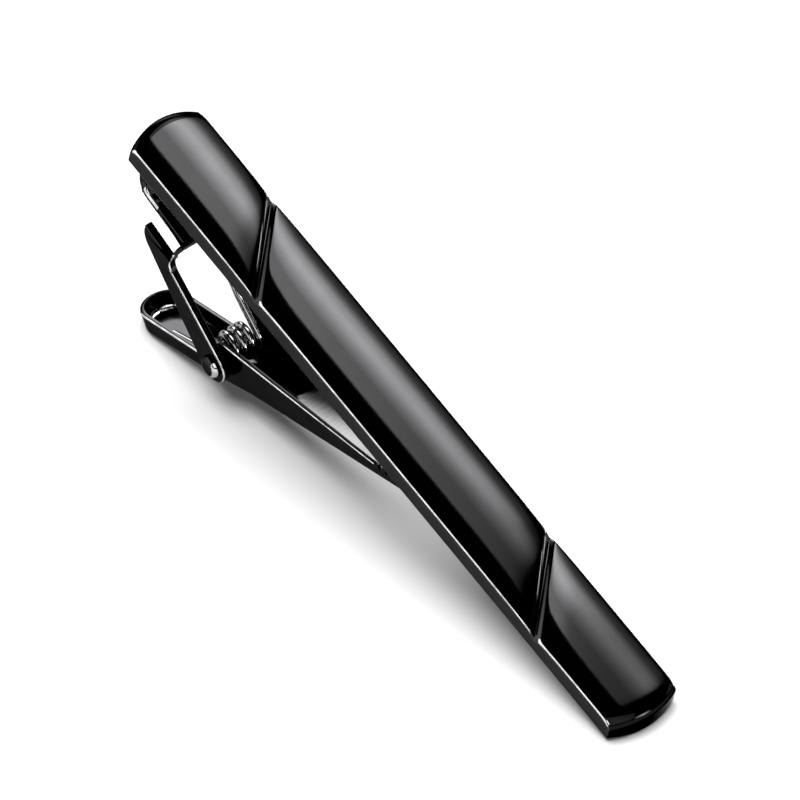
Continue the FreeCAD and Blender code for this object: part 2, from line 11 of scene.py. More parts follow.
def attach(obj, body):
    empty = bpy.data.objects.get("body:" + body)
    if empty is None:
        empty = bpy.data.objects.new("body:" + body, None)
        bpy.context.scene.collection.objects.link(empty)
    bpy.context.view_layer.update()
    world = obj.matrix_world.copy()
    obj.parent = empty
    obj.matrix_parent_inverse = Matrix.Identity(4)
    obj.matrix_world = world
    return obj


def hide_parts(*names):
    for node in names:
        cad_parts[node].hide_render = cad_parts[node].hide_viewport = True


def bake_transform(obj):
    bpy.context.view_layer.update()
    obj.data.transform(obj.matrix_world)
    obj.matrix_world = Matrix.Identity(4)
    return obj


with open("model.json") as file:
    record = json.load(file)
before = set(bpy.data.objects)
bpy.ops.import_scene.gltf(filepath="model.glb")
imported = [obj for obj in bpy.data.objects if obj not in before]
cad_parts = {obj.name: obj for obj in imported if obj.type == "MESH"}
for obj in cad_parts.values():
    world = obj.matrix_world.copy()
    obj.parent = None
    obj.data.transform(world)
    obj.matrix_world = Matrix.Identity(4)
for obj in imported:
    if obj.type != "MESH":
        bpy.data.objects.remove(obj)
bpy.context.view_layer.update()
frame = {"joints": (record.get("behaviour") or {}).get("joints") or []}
bpy.ops.object.select_all(action="DESELECT")

# Pieces are drawn in millimetres in the clip's own frame: X along the bar to its free end, Y across it and
# Z up from the bar's flat back. The lever is drawn about the pin with its floor level, then turned.
# Edges that turn by more than SHARP are rounded, places within NEAR of each other count as the same, and
# points within MERGE become one.
MILLIMETRE = 0.001
PIN = Vector((-15.92, 0.0, -11.44))
REST_TILT = math.radians(19.33)
LEVER_RISE = math.radians(29.9)
SHARP = math.radians(50)
NEAR = 0.01
MERGE = 0.001

# Bar
BAR_LENGTH = 58.0
BAR_WIDTH = 6.1
BAR_WALL = 1.76
BAR_CROWN = 0.56
END_BULGE = 0.85
END_ROLL = 1.3
END_ROLL_DROP = 0.55
EDGE_SUPPORT = 0.23
GROOVE_PLACE = 16.4
GROOVE_HALF_WIDTH = 0.42
GROOVE_CUT = 0.26
SHOULDER_DROP = 0.26
SHOULDER_WIDTH = 1.15
SLANT_END = 18.6
SQUARE_START = 27.4
EDGE_POLISH_STOP = 0.2
# A painted highlight along one lip of each groove.
LIP_HIGHLIGHT = 0.35
LIP_HIGHLIGHT_REACH = 2.6
# The rolled ends are painted darker as shade.
END_SHADE_REACH = 0.95

# Bracket
SHEET = 0.65
BRACKET_WIDTH = 5.6
LEG_BEND = 1.0
STRIP_WIDTH = 3.5
SOLDER_GAP = 0.1
SOLDER_WIDTH = 3.4
TOP_LUMPS = 5
TOP_LUMP_START = -1.3
TOP_LUMP_PITCH = 0.65
TOP_LUMP_Z = -0.32
TOP_LUMP_RADII = (0.24, 0.31)
SOLDER_VOXEL = 0.05
FOLD_LUMPS = [
    ((-27.1, -1.5, -2.6), 0.3),
    ((-26.85, -1.45, -3.05), 0.32),
    ((-26.5, -1.4, -3.3), 0.27),
    ((-25.85, -1.35, -3.75), 0.2),
]
FOLD_LEFT = -27.98
FOLD_ROUND = 1.6
FOLD_INNER = 0.95
TONGUE_END = -21.8
RUN_LEFT_Z = -4.25
RUN_END = (-21.9, -4.97)
EAR_RADIUS = 1.38
KNEE = (-22.25, -6.65)
KNEE_ROUND = 0.9
HEEL = (-25.3, -6.4)
HEEL_ROUND = 1.4
TOE = (-25.35, -5.1)
TOE_ROUND = 0.12
SLIT = (-22.25, -5.68)
SHEET_EDGE = 0.13
# The inside of the fold is rounded and carries a painted reflection between the next two places.
FOLD_HIGHLIGHT_ROUND = 0.24
FOLD_HIGHLIGHT_START = -27.1
FOLD_HIGHLIGHT_END = -25.45

# Lever, about the pin
LEVER_WIDTH = 3.8
LEVER_SHEET = 0.34
LEVER_FLOOR = -1.76
FLOOR_BREAK = 3.0
TAIL_START = -1.5
TAIL_FLOOR = -2.1
TAIL_END = -11.15
TAIL_RIM = (-11.5, -0.55)
TAIL_ROUND = 1.85
TAIL_BAND = 0.1
TAIL_BEND_END = -9.0
INNER_CORNER_BAND = 0.12
INNER_CORNER_MERGE = 0.1
STEP = (-1.15, -0.667)
STEP_ROUND = 0.7
JAW_HEEL = (-0.1, 1.747)
JAW_END = (18.05, -0.75)
LIP = (24.6, -1.06)
TIP = 25.8
TOOTH_PITCH = 0.85
TOOTH_DEPTH = 0.4
TOOTH_LEAD = 0.7
TOOTH_SLANT = 0.6
TOOTH_COUNT = 7
LEVER_BEND = 0.3
LEVER_RIM_EDGE = 0.15
RIM_STOP = 0.3
INNER_BEND = 0.26
LEVER_EDGE = 0.035

# Pin and spring
PIN_RADIUS = 0.4
PIN_PLAY = 0.05
HEAD_RADIUS = 0.9
HEAD_HEIGHT = 0.43
HEAD_ROUND = 0.4
HEAD_INSET = 0.2
HEAD_RISE = 0.02
# Level of the painted highlight on the pin heads.
HEAD_HIGHLIGHT = 0.8
WIRE_RADIUS = 0.3
COIL_RADIUS = 1.15
COIL_LENGTH = 2.32
COIL_TURNS = 3
COIL_SHIFT = Vector((-0.44, 0.0, 0.0))
TAIL_ARM = 7.0
TAIL_ARM_DIP = math.radians(4.2)
BRACKET_ARM_RISE = math.radians(30.0)
BRACKET_ARM = 3.6
BRACKET_ARM_END = -22.3

# Finishes: tones, patterns over a metre, and where the brushing on the jaw's floor starts, in metres
COOL = 1.03
BRIGHT_COOL = 1.01
GRAZING_TINT = 0.4
# Tone of the painted shade on the bar's rolled ends.
PAINTED_SHADE_TONE = 0.008
FILM_SCALE = 420.0
BRIGHT_PATCH_SCALE = 1500.0
HAIR_LINES = (900.0, 14000.0, 9000.0)
HAIR_HEIGHT = 0.00001
BRUSHED_TONE = 0.42
BRUSHED_ROUGHNESS = 0.68
BRUSHED_START = -0.0109
BRUSHED_RAGGED = 0.0014
BRUSHED_FADE = 0.0003
RAGGED_SCALE = 900.0
BRUSH_STROKES = (6000.0, 400.0, 400.0)

# Camera, floor and light, in metres and degrees
CAMERA_PLACE = (1.021118, -0.696964, 1.18686)
CAMERA_TURN = (46.33089, 3.7635, 52.06272)
CAMERA_LENS = 1086.287
FLOOR_SIZE = 4.0
CLIP_MIDDLE = Vector((0, 0, 0.01))
FLOOR_TONE = 0.8
FLOOR_LIFT = 0.07
WALL_HEIGHTS = (0.08, 0.35)
WALL_GLOWS = (0.03, 0.004)
LAMP_ENERGY = 5.4
LAMP_WIDTH = 60
CROWN_PANEL_RISE = 60
CROWN_PANEL_AWAY = 0.4

pivot = Vector(frame["joints"][0]["pos_m"])
LAY_DOWN = (
    Matrix.Translation(pivot)
    @ Matrix.Rotation(REST_TILT, 4, "Y")
    @ Matrix.Scale(MILLIMETRE, 4)
    @ Matrix.Translation(-PIN)
)
ABOUT_PIN = Matrix.Translation(PIN) @ Matrix.Rotation(-LEVER_RISE, 4, "Y")


def named(name):
    """Names the object that was just added."""
    piece = bpy.context.object
    piece.name = name
    piece.data.name = name
    return piece


def only(piece):
    """Selects one piece alone and makes it the active one."""
    bpy.ops.object.select_all(action="DESELECT")
    piece.select_set(True)
    bpy.context.view_layer.objects.active = piece


def edit(piece):
    """Opens one piece for editing."""
    only(piece)
    bpy.ops.object.mode_set(mode="EDIT")


def done():
    """Leaves edit mode."""
    bpy.ops.object.mode_set(mode="OBJECT")


def pick(piece, kind, chosen):
    """Selects the vertices, edges or faces of the piece in edit mode for which chosen is true."""
    bpy.ops.mesh.select_mode(type=kind)
    bpy.ops.mesh.select_all(action="DESELECT")
    shape = bmesh.from_edit_mesh(piece.data)
    parts = {"VERT": shape.verts, "EDGE": shape.edges, "FACE": shape.faces}[kind]
    for part in parts:
        part.select_set(chosen(part))
    shape.select_flush_mode()
    bmesh.update_edit_mesh(piece.data)


def middle(part):
    """Middle of an edge or a face."""
    return sum((v.co for v in part.verts), Vector()) / len(part.verts)


def is_sharp(edge):
    """True for an edge between two faces that meet at a sharp turn."""
    return len(edge.link_faces) == 2 and edge.calc_face_angle() > SHARP


def apply_modifier(piece, kind, **settings):
    """Adds a modifier with its settings and applies it."""
    only(piece)
    modifier = piece.modifiers.new(kind.lower(), kind)
    for setting, value in settings.items():
        setattr(modifier, setting, value)
    bpy.ops.object.modifier_apply(modifier=modifier.name)


def outline_plate(name, corners, low_y, high_y):
    """Flat plate whose corners, as (x, z), are raised from low_y to high_y."""
    bpy.ops.mesh.primitive_circle_add(vertices=len(corners), fill_type="NGON")
    plate = named(name)
    for vertex, (x, z) in zip(plate.data.vertices, corners):
        vertex.co = (x, low_y, z)
    edit(plate)
    bpy.ops.mesh.select_all(action="SELECT")
    bpy.ops.mesh.extrude_region_move(TRANSFORM_OT_translate={"value": (0, high_y - low_y, 0)})
    bpy.ops.mesh.select_all(action="SELECT")
    bpy.ops.mesh.normals_make_consistent(inside=False)
    done()
    return plate


def round_upright(piece, place, radius, segments):
    """Rounds the edges of a plate that run across it at the corner (x, z)."""

    def chosen(edge):
        first, second = edge.verts
        across = abs(first.co.y - second.co.y) > SHEET / 4
        here = middle(edge)
        return across and math.hypot(here.x - place[0], here.z - place[1]) < NEAR

    edit(piece)
    pick(piece, "EDGE", chosen)
    shape = bmesh.from_edit_mesh(piece.data)
    turn = [e for e in shape.edges if e.select][0].calc_face_angle()
    reach = radius * math.tan(turn / 2)
    bpy.ops.mesh.bevel(offset=reach, offset_type="OFFSET", segments=segments)
    done()


def soften(piece, width, segments, chosen, bright_mark=False):
    """Small round on the chosen sharp edges; those given the bright mark take the second material slot, which
    stands for rubbed edges and for painted highlights.
    """
    while len(piece.material_slots) < 2:
        bpy.ops.object.material_slot_add()
    edit(piece)
    pick(piece, "EDGE", lambda edge: is_sharp(edge) and chosen(edge))
    bpy.ops.mesh.bevel(offset=width, segments=segments, material=1 if bright_mark else -1)
    done()


def clean(piece):
    """Merges points that coincide and removes faces without area, such as a bevel leaves at its ends."""
    edit(piece)
    bpy.ops.mesh.select_all(action="SELECT")
    bpy.ops.mesh.remove_doubles(threshold=MERGE)
    bpy.ops.mesh.dissolve_degenerate(threshold=MERGE)
    done()


def put_mask(piece, name, level):
    """Stores a mask on a piece, with the level that each of its faces gets."""
    levels = [float(level(face)) for face in piece.data.polygons]
    stored = piece.data.attributes.new(name, "FLOAT", "FACE")
    stored.data.foreach_set("value", levels)


def mark_polish_and_highlight(piece, kept):
    """Turns the bright mark into a mask of rubbed edges and painted highlights, on those faces for which kept
    is true.
    """
    put_mask(piece, "polish_and_painted_highlight", lambda face: face.material_index == 1 and kept(face))
    faces = piece.data.polygons
    faces.foreach_set("material_index", [0] * len(faces))


def smooth(piece):
    """Smooth shading that keeps flat faces flat."""
    only(piece)
    bpy.ops.object.shade_smooth_by_angle(angle=SHARP)
    apply_modifier(piece, "WEIGHTED_NORMAL", keep_sharp=True)


def settle(piece, place):
    """Moves a drawn piece to its place in the frame and applies that, so that it sits at the origin."""
    only(piece)
    piece.matrix_world = place
    bpy.ops.object.transform_apply(location=True, rotation=True, scale=True)


def hand_over(piece, body, node, finish):
    """Gives a finished piece its body, node, slot and material."""
    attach(piece, body)
    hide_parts(node)
    piece.data.materials.clear()
    piece.data.materials.append(finish)


# Bar: crowned face with soft shoulders at the grooves


def crown_height(y):
    """Height of the bar's face over its back, away from the grooves and ends."""
    radius = ((BAR_WIDTH / 2) ** 2 + BAR_CROWN**2) / (2 * BAR_CROWN)
    return BAR_WALL + BAR_CROWN - radius + math.sqrt(radius**2 - y**2)


def end_setback(y):
    """How far the bulging end lies behind its furthest point."""
    radius = ((BAR_WIDTH / 2) ** 2 + END_BULGE**2) / (2 * END_BULGE)
    return radius - math.sqrt(radius**2 - y**2)


def groove_drop(x, y):
    """Depth of the face under the crown beside the nearer groove: a V with soft shoulders."""
    side = 1 if x + y > 0 else -1
    away = abs(x + y - side * GROOVE_PLACE) / math.sqrt(2)
    cut = GROOVE_CUT * max(0.0, 1 - away / GROOVE_HALF_WIDTH)
    return cut + SHOULDER_DROP * math.exp(-away / SHOULDER_WIDTH)


def end_drop(from_end):
    """Depth by which the face rolls over at the bar's ends."""
    share = max(0.0, 1 - from_end / END_ROLL)
    return END_ROLL_DROP * (1 - math.sqrt(1 - min(1.0, share) ** 2))


def bar_stations():
    """Places along the bar's middle line of the columns of its face, close at grooves and ends."""
    beside_groove = (0.0, 0.14, 0.32, 0.55, 0.85, 1.25, 1.8, 2.5, 3.4)
    from_end = (0.0, 0.1, 0.25, 0.45, 0.75, 1.1, 1.6, 2.4, 3.5)
    half = [2.2, 4.4, 6.6, 8.8, 11.0, 22.0, 24.0]
    half += [GROOVE_PLACE + sign * step for sign in (-1, 1) for step in beside_groove]
    half += [BAR_LENGTH / 2 - step for step in from_end]
    return sorted({0.0} | {round(sign * place, 4) for sign in (-1, 1) for place in half})


def bar_rows():
    """Places across the bar of the rows of its face, close at the long edges."""
    half_width = BAR_WIDTH / 2
    from_edge = (0.0, EDGE_SUPPORT, 0.4, 0.8, 1.3, 1.9, 2.5)
    half = [half_width - step for step in from_edge]
    return sorted([0.0] + [sign * place for sign in (-1, 1) for place in half])


def face_point(station, y):
    """Point of the bar's face: columns lie along the slanting grooves and turn square at the ends."""
    share = (abs(station) - SLANT_END) / (SQUARE_START - SLANT_END)
    share = min(1.0, max(0.0, share))
    share = share * share * (3 - 2 * share)
    side = math.copysign(1, station)
    x = station - (1 - share) * y - share * side * end_setback(y)
    from_end = BAR_LENGTH / 2 - abs(x) - end_setback(y)
    return Vector((x, y, crown_height(y) - groove_drop(x, y) - end_drop(from_end)))


def make_front_bar(finish):
    """Bar: one grid shaped to the crowned, grooved face, walled down to a flat back and subdivided."""
    stations = bar_stations()
    rows = bar_rows()
    columns = len(stations) - 1
    strips = len(rows) - 1
    bpy.ops.mesh.primitive_grid_add(x_subdivisions=columns, y_subdivisions=strips, size=1)
    bar = named("bar_front")
    for vertex in bar.data.vertices:
        station = stations[round((vertex.co.x + 0.5) * columns)]
        y = rows[round((vertex.co.y + 0.5) * strips)]
        vertex.co = face_point(station, y)
    edit(bar)
    bpy.ops.mesh.select_mode(type="EDGE")
    bpy.ops.mesh.select_all(action="SELECT")
    bpy.ops.mesh.region_to_loop()
    bpy.ops.mesh.extrude_edges_move(TRANSFORM_OT_translate={"value": (0, 0, -EDGE_SUPPORT)})
    for height in (EDGE_SUPPORT, 0.0):
        bpy.ops.mesh.extrude_edges_move(TRANSFORM_OT_translate={"value": (0, 0, 0)})
        bpy.ops.transform.resize(value=(1, 1, 0), center_override=(0, 0, height))
    bpy.ops.mesh.edge_face_add()
    bpy.ops.mesh.select_mode(type="FACE")
    bpy.ops.mesh.inset(thickness=EDGE_SUPPORT)
    bpy.ops.mesh.select_all(action="SELECT")
    bpy.ops.mesh.normals_make_consistent(inside=False)
    done()
    apply_modifier(bar, "SUBSURF", levels=2, render_levels=2)

    def long_edge(face):
        here = face.center
        turned = 0.5 < abs(face.normal.y) < 0.96 and face.normal.z > 0
        beside = abs(here.y) > BAR_WIDTH / 2 - EDGE_SUPPORT
        in_groove = abs(abs(here.x + here.y) - GROOVE_PLACE) < GROOVE_HALF_WIDTH
        short_of_end = abs(here.x) < BAR_LENGTH / 2 - END_BULGE - EDGE_POLISH_STOP
        return turned and beside and short_of_end and not in_groove

    # One lip of each groove gets a painted highlight.
    def groove_lip_highlight(face):
        here = face.center
        side = 1 if here.x + here.y > 0 else -1
        away = (side * GROOVE_PLACE - here.x - here.y) / math.sqrt(2)
        on_lip = 0.6 < away / GROOVE_HALF_WIDTH < 1.05
        return on_lip and face.normal.z > 0.5 and abs(here.y) < LIP_HIGHLIGHT_REACH

    # Faces over the rolled ends, painted darker as shade.
    def shaded_end(face):
        y = min(abs(face.center.y), BAR_WIDTH / 2)
        from_end = BAR_LENGTH / 2 - abs(face.center.x) - end_setback(y)
        return from_end < END_SHADE_REACH and abs(face.normal.y) < 0.7

    put_mask(bar, "polish_and_painted_highlight", lambda face: 1.0 if long_edge(face) else LIP_HIGHLIGHT * groove_lip_highlight(face))
    put_mask(bar, "painted_shade", shaded_end)
    only(bar)
    bpy.ops.object.shade_smooth()
    settle(bar, LAY_DOWN)
    hand_over(bar, "clip_body", "front_bar", finish)


# Bracket: bent strip with two legs


def ear_arc():
    """Corners of a leg round its ear, between where the straight edges from knee and heel touch it."""

    def touch(corner, sign):
        over = corner[0] - PIN.x
        up = corner[1] - PIN.z
        return math.atan2(up, over) + sign * math.acos(EAR_RADIUS / math.hypot(over, up))

    start = touch(KNEE, -1)
    end = touch(HEEL, 1) - 2 * math.pi
    count = 28
    turns = [start + (end - start) * i / count for i in range(count + 1)]
    return [(PIN.x + EAR_RADIUS * math.cos(turn), PIN.z + EAR_RADIUS * math.sin(turn)) for turn in turns]


def run_under(x):
    """Height of the underside of the lower run."""
    slope = (RUN_END[1] - RUN_LEFT_Z) / (RUN_END[0] - FOLD_LEFT)
    return RUN_END[1] + slope * (x - RUN_END[0])


def run_over(x):
    """Height of the upper side of the lower run."""
    slope = (RUN_END[1] - RUN_LEFT_Z) / (RUN_END[0] - FOLD_LEFT)
    return run_under(x) + SHEET * math.sqrt(1 + slope**2)


def make_strip():
    """Bent strip of the bracket: tongue, fold and lower run."""
    inner_x = FOLD_LEFT + SHEET
    neck = (SLIT[0] + RUN_END[0]) / 2
    outside = [(FOLD_LEFT, -SOLDER_GAP), (FOLD_LEFT, RUN_LEFT_Z)]
    inside = [(inner_x, run_over(inner_x)), (inner_x, -SOLDER_GAP - SHEET)]
    corners = [(TONGUE_END, -SOLDER_GAP)] + outside
    corners += [(neck, run_under(neck)), (neck, run_over(neck))]
    corners += inside + [(TONGUE_END, -SOLDER_GAP - SHEET)]
    strip = outline_plate("bracket_strip", corners, -STRIP_WIDTH / 2, STRIP_WIDTH / 2)
    for corner in outside:
        round_upright(strip, corner, FOLD_ROUND, 12)
    for corner in inside:
        round_upright(strip, corner, FOLD_INNER, 12)
    return strip


def bend_over(piece, offset, radius, segments):
    """Rounds the upper edges along both sides of a block, over which the legs are bent down."""

    def chosen(edge):
        ends = [v.co for v in edge.verts]
        beside = all(abs(abs(end.y) - offset) < NEAR for end in ends) and ends[0].y * ends[1].y > 0
        return beside and all(end.z > run_under(end.x) - NEAR for end in ends)

    edit(piece)
    pick(piece, "EDGE", chosen)
    bpy.ops.mesh.bevel(offset=radius, segments=segments)
    done()


def make_hinge_bracket(finish):
    """Bracket: block with the legs' outline, bent over at its top and hollowed, joined to the strip."""
    half = BRACKET_WIDTH / 2
    inner = half - SHEET
    front = (RUN_END[0], run_over(RUN_END[0]))
    corners = [front, KNEE] + ear_arc() + [HEEL, TOE, SLIT, (SLIT[0], run_over(SLIT[0]))]
    bracket = outline_plate("bracket_sheet", corners, -half, half)
    round_upright(bracket, KNEE, KNEE_ROUND, 8)
    round_upright(bracket, HEEL, HEEL_ROUND, 10)
    round_upright(bracket, TOE, TOE_ROUND, 4)
    bend_over(bracket, half, LEG_BEND, 10)
    left = FOLD_LEFT - 1
    right = PIN.x + EAR_RADIUS * 2
    low = PIN.z - EAR_RADIUS * 2
    hollow = [(left, low), (right, low), (right, run_under(right)), (left, run_under(left))]
    gap = outline_plate("leg_gap", hollow, -inner, inner)
    bend_over(gap, inner, LEG_BEND - SHEET, 6)
    apply_modifier(bracket, "BOOLEAN", operation="DIFFERENCE", object=gap, solver="EXACT")
    bpy.data.objects.remove(gap)
    strip = make_strip()
    apply_modifier(bracket, "BOOLEAN", operation="UNION", object=strip, solver="EXACT")
    bpy.data.objects.remove(strip)
    edit(bracket)
    bpy.ops.mesh.select_all(action="SELECT")
    bpy.ops.mesh.remove_doubles(threshold=MERGE)
    bpy.ops.mesh.dissolve_limited(angle_limit=math.radians(0.5))
    bpy.ops.mesh.select_all(action="SELECT")
    bpy.ops.mesh.bisect(plane_co=(FOLD_HIGHLIGHT_END, 0, 0), plane_no=(1, 0, 0))
    done()

    def fold_inside(edge):
        here = middle(edge)
        beside = abs(abs(here.y) - STRIP_WIDTH / 2) < NEAR
        low = here.z < run_over(here.x) + FOLD_INNER
        return beside and low and here.x < FOLD_HIGHLIGHT_END and here.z > run_under(here.x) + SHEET / 2

    def sheet_edge(edge):
        return not fold_inside(edge)

    # The inside of the fold gets a painted reflection; the other sheet edges are rubbed.
    soften(bracket, FOLD_HIGHLIGHT_ROUND, 3, fold_inside, bright_mark=True)
    soften(bracket, SHEET_EDGE, 3, sheet_edge, bright_mark=True)
    clean(bracket)

    # Rubbed front edges of the legs, and the painted reflection inside the fold.
    def worn_or_painted_highlight(face):
        leg_front = abs(face.center.y) > half - SHEET_EDGE and face.normal.x > 0.3
        fold = abs(face.center.y) < half - SHEET and FOLD_HIGHLIGHT_START < face.center.x < FOLD_HIGHLIGHT_END
        return leg_front or (fold and face.normal.z > 0.2)

    mark_polish_and_highlight(bracket, worn_or_painted_highlight)
    smooth(bracket)
    settle(bracket, LAY_DOWN)
    hand_over(bracket, "clip_body", "hinge_bracket", finish)


# Lever: bent channel with a thumb tail and a toothed jaw


def jaw_top():
    """Corners along the top of the jaw's walls from the lip back to the end of the teeth."""
    slope = (LIP[1] - JAW_END[1]) / (LIP[0] - JAW_END[0])
    corners = [LIP]
    for i in reversed(range(TOOTH_COUNT)):
        along = TOOTH_PITCH * (i + TOOTH_LEAD)
        root = JAW_END[0] + along
        top = JAW_END[1] + slope * along
        corners.append((root + TOOTH_PITCH * TOOTH_SLANT / 2, top))
        corners.append((root, top - TOOTH_DEPTH))
        corners.append((root - TOOTH_PITCH * (1 - TOOTH_SLANT) / 2, top))
    return corners + [JAW_END]


def make_jaw_lever(finish):
    """Lever: side outline drawn across, opened at the top and tip, its tail rounded, given its sheet."""
    half = LEVER_WIDTH / 2
    floor = [(TAIL_END, TAIL_FLOOR), (TAIL_START, TAIL_FLOOR), (FLOOR_BREAK, LEVER_FLOOR), (TIP, LEVER_FLOOR)]
    corners = floor + jaw_top() + [JAW_HEEL, STEP, TAIL_RIM]
    lever = outline_plate("jaw_lever_sheet", corners, -half, half)
    round_upright(lever, JAW_HEEL, STEP_ROUND, 6)
    round_upright(lever, STEP, STEP_ROUND, 6)

    def opening(face):
        across = abs(face.normal.y) < 0.5
        here = middle(face)
        over_floor = here.z > LEVER_FLOOR + LEVER_SHEET
        behind = here.x < TAIL_END + TAIL_BAND
        at_tip = here.x > LIP[0]
        return across and (over_floor or at_tip) and not behind and face.normal.z > -0.9

    edit(lever)
    pick(lever, "FACE", opening)
    bpy.ops.mesh.delete(type="FACE")

    def tail_corner(edge):
        upright = abs(edge.verts[0].co.z - edge.verts[1].co.z) > 1
        return upright and middle(edge).x < TAIL_END + TAIL_BAND

    pick(lever, "EDGE", tail_corner)
    bpy.ops.mesh.bevel(offset=TAIL_ROUND, segments=10)

    def lower_bend(edge):
        low = max(v.co.z for v in edge.verts) < LEVER_FLOOR + NEAR
        walls = [face for face in edge.link_faces if abs(face.normal.z) < 0.5]
        return low and len(walls) == 1 and len(edge.link_faces) == 2

    pick(lever, "EDGE", lower_bend)
    bpy.ops.mesh.bevel(offset=LEVER_BEND, segments=4)
    bpy.ops.mesh.select_all(action="SELECT")
    bpy.ops.mesh.normals_make_consistent(inside=False)
    done()
    apply_modifier(lever, "SOLIDIFY", thickness=LEVER_SHEET, offset=-1, use_even_offset=True)
    bpy.ops.mesh.primitive_cylinder_add(
        vertices=40,
        radius=PIN_RADIUS + PIN_PLAY,
        depth=LEVER_WIDTH * 2,
        location=(0, 0, 0),
        rotation=(math.pi / 2, 0, 0),
    )
    bore = named("pin_bore")
    apply_modifier(lever, "BOOLEAN", operation="DIFFERENCE", object=bore, solver="EXACT")
    bpy.data.objects.remove(bore)

    def above_floor(edge):
        here = middle(edge)
        clear_of_bore = math.hypot(here.x, here.z) > PIN_RADIUS * 1.5
        return edge.is_convex and clear_of_bore and here.z > LEVER_FLOOR + LEVER_SHEET / 2

    def outer_rim(edge):
        wall = min(edge.link_faces, key=lambda face: abs(face.normal.z))
        here = middle(edge)
        heart = Vector((max(here.x, TAIL_END + TAIL_ROUND), 0, here.z))
        return above_floor(edge) and here.x < JAW_END[0] - RIM_STOP and wall.normal.dot(here - heart) > 0.1

    def inner_corner(vertex):
        over_floor = vertex.co.z - TAIL_FLOOR - LEVER_SHEET
        return abs(over_floor) < INNER_CORNER_BAND and vertex.co.x < TAIL_START

    def tail_inside(edge):
        behind = max(v.co.x for v in edge.verts) < TAIL_BEND_END
        return behind and not edge.is_convex and all(inner_corner(v) for v in edge.verts)

    edit(lever)
    pick(lever, "VERT", inner_corner)
    bpy.ops.mesh.remove_doubles(threshold=INNER_CORNER_MERGE)
    done()
    # The tail's inner bend gets a painted highlight; the rims are rubbed.
    soften(lever, INNER_BEND, 4, tail_inside, bright_mark=True)
    soften(lever, LEVER_RIM_EDGE, 3, outer_rim, bright_mark=True)
    soften(lever, LEVER_EDGE, 2, above_floor)
    clean(lever)

    # Rubbed rims, and the painted highlight along the tail's inner bend.
    def bright_mark(face):
        rim = abs(face.normal.y) > 0.3 and abs(face.center.y) > half - LEVER_RIM_EDGE
        return rim or face.center.z < TAIL_RIM[1] - LEVER_SHEET

    def jaw_floor(face):
        return face.normal.z > 0.95 and abs(face.center.z - LEVER_FLOOR - LEVER_SHEET) < 0.05

    mark_polish_and_highlight(lever, bright_mark)
    put_mask(lever, "brushed_floor", jaw_floor)
    smooth(lever)
    settle(lever, LAY_DOWN @ ABOUT_PIN)
    hand_over(lever, "lever", "jaw_lever", finish)


# Pin, spring and solder


def make_hinge_pin(finish):
    """Rivet pin: a shaft whose ends are spread into domed heads."""
    length = BRACKET_WIDTH
    bpy.ops.mesh.primitive_cylinder_add(
        vertices=48,
        radius=PIN_RADIUS,
        depth=length,
        location=PIN,
        rotation=(math.pi / 2, 0, 0),
    )
    pin = named("hinge_rivet")
    bpy.ops.object.transform_apply(location=True, rotation=True, scale=True)
    spread = HEAD_RADIUS / PIN_RADIUS
    for side in (-1, 1):
        edit(pin)
        end = side * length / 2
        pick(pin, "FACE", lambda face: abs(middle(face).y - end) < NEAR)
        face_middle = (PIN.x, end, PIN.z)
        bpy.ops.mesh.extrude_region_move(TRANSFORM_OT_translate={"value": (0, 0, 0)})
        bpy.ops.transform.resize(value=(spread, 1, spread), center_override=face_middle)
        bpy.ops.mesh.extrude_region_move(TRANSFORM_OT_translate={"value": (0, side * HEAD_HEIGHT, 0)})
        bpy.ops.mesh.region_to_loop()
        bpy.ops.mesh.bevel(offset=HEAD_ROUND, segments=8)
        crown = end + side * HEAD_HEIGHT
        pick(pin, "FACE", lambda face: abs(middle(face).y - crown) < MERGE)
        bpy.ops.mesh.inset(thickness=HEAD_INSET, depth=HEAD_RISE)
        done()

    # A painted highlight streak on the side of each head's rounding that faces the free end.
    def head_highlight_side(face):
        on_head = abs(face.center.y) > length / 2
        return on_head and face.normal.x > 0.2 and abs(face.normal.y) > 0.2

    put_mask(pin, "polish_and_painted_highlight", lambda face: HEAD_HIGHLIGHT * head_highlight_side(face))
    bpy.ops.object.shade_smooth_by_angle(angle=SHARP)
    settle(pin, LAY_DOWN)
    hand_over(pin, "clip_body", "hinge_pin", finish)


def spring_points():
    """Wire's centre line: tail arm, close turns about the pin, and the arm up to the bracket's run."""
    centre = PIN + COIL_SHIFT
    start = LEVER_RISE + TAIL_ARM_DIP - math.pi / 2
    end = math.pi / 2 - BRACKET_ARM_RISE + 2 * math.pi * COIL_TURNS
    steps = 48 * COIL_TURNS
    points = []
    for i in range(steps + 1):
        turn = start + (end - start) * i / steps
        y = COIL_LENGTH * (i / steps - 0.5)
        points.append(centre + Vector((COIL_RADIUS * math.cos(turn), y, COIL_RADIUS * math.sin(turn))))
    way_in = Vector((-math.sin(start), 0, math.cos(start)))
    way_out = Vector((-math.sin(end), 0, math.cos(end)))
    last = Vector((BRACKET_ARM_END, COIL_LENGTH / 2, run_under(BRACKET_ARM_END) - WIRE_RADIUS))
    corner = points[-1] + way_out * BRACKET_ARM
    tail = [points[0] - way_in * TAIL_ARM * share for share in (1.0, 0.75, 0.5, 0.25, 0.1)]
    rise = [points[-1] + way_out * BRACKET_ARM * share for share in (0.15, 0.4, 0.7, 0.9)]
    turned = [corner + (last - corner) * share for share in (0.12, 0.4, 0.7, 1.0)]
    return tail + points + rise + turned


